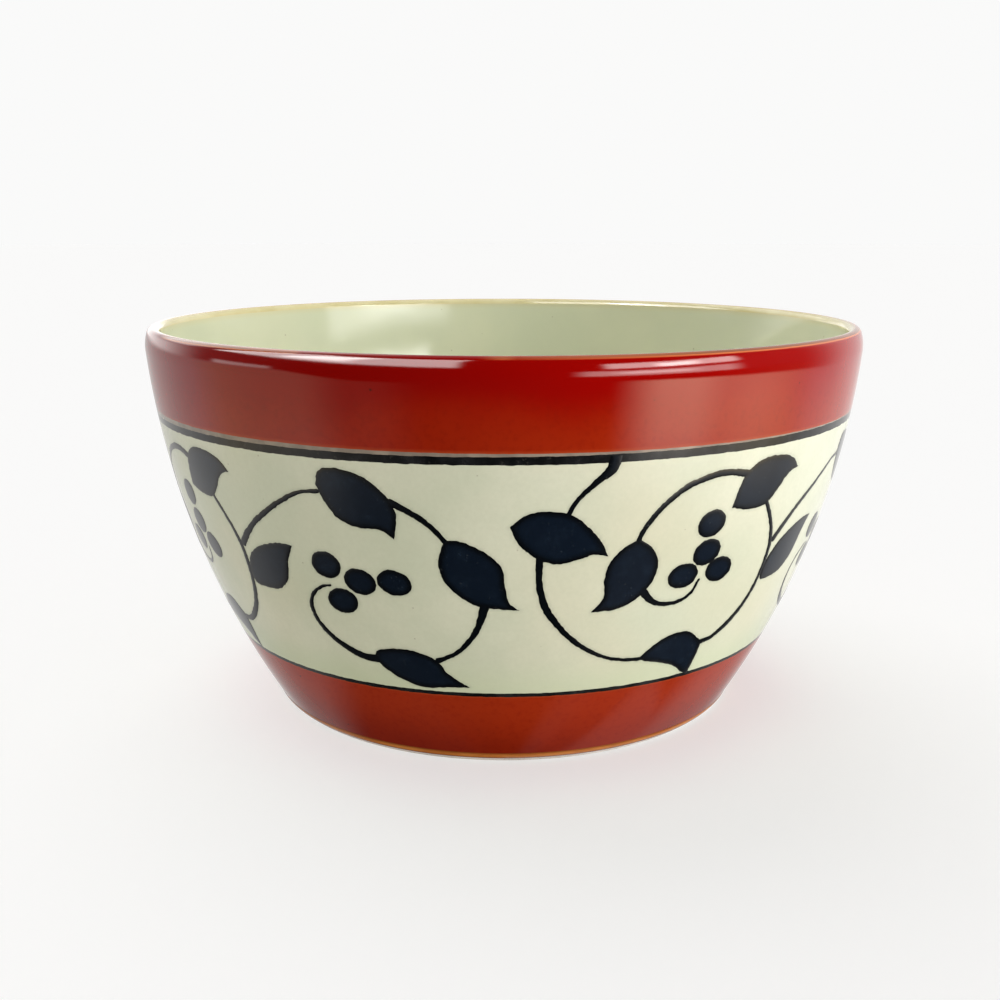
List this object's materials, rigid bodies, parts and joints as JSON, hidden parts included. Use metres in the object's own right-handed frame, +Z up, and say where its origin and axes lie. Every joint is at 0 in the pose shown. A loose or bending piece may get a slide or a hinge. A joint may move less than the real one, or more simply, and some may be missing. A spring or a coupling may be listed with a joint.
{
  "type": "painted bowl",
  "caption": "Footed round bowl with deep curved walls, glazed inside, with two red bands and a cream band painted with dark berry scrolls.",
  "frame": {"origin": "centre of the foot's resting plane", "axes": "+Z up along the bowl's axis, -Y towards the front of the painting, +X to the right of it"},
  "size_m": [0.13, 0.13, 0.0694],
  "materials": {
    "bare_clay": "bare fired clay, pale pinkish grey, matt and slightly rough",
    "celadon_glaze": "glossy celadon glaze, greenish cream",
    "rim_ochre": "glossy thin ochre glaze worn pale on the lip",
    "red_glaze": "glossy iron-red glaze, darker where it pools",
    "grey_glaze": "glossy mauve-grey edge where the red runs thin",
    "black_enamel": "glossy near-black brushed line",
    "cream_glaze": "glossy cream glaze with a green tint",
    "foot_ochre": "glossy orange-brown glaze pooled at the foot",
    "navy_enamel": "brushed blue-black enamel under a glossy glaze"
  },
  "bodies": {
    "root": {"clay_body": "bare_clay", "foot_ring": "bare_clay", "inner_glaze": "celadon_glaze", "rim_line": "rim_ochre", "upper_red_band": "red_glaze", "upper_grey_line": "grey_glaze", "upper_black_line": "black_enamel", "cream_band": "cream_glaze", "lower_black_line": "black_enamel", "lower_red_band": "red_glaze", "foot_line": "foot_ochre", "base_glaze": "celadon_glaze", "left_stems_1": "navy_enamel", "left_stems_2": "navy_enamel", "left_stems_3": "navy_enamel", "left_stems_4": "navy_enamel", "left_leaves_1": "navy_enamel", "left_leaves_2": "navy_enamel", "left_leaves_3": "navy_enamel", "left_leaves_4": "navy_enamel", "left_berries_1": "navy_enamel", "left_berries_2": "navy_enamel", "left_berries_3": "navy_enamel", "left_berries_4": "navy_enamel", "right_stems_1": "navy_enamel", "right_stems_2": "navy_enamel", "right_stems_3": "navy_enamel", "right_stems_4": "navy_enamel", "right_leaves_1": "navy_enamel", "right_leaves_2": "navy_enamel", "right_leaves_3": "navy_enamel", "right_leaves_4": "navy_enamel", "right_berries_1": "navy_enamel", "right_berries_2": "navy_enamel", "right_berries_3": "navy_enamel", "right_berries_4": "navy_enamel"}
  },
  "joints": []
}
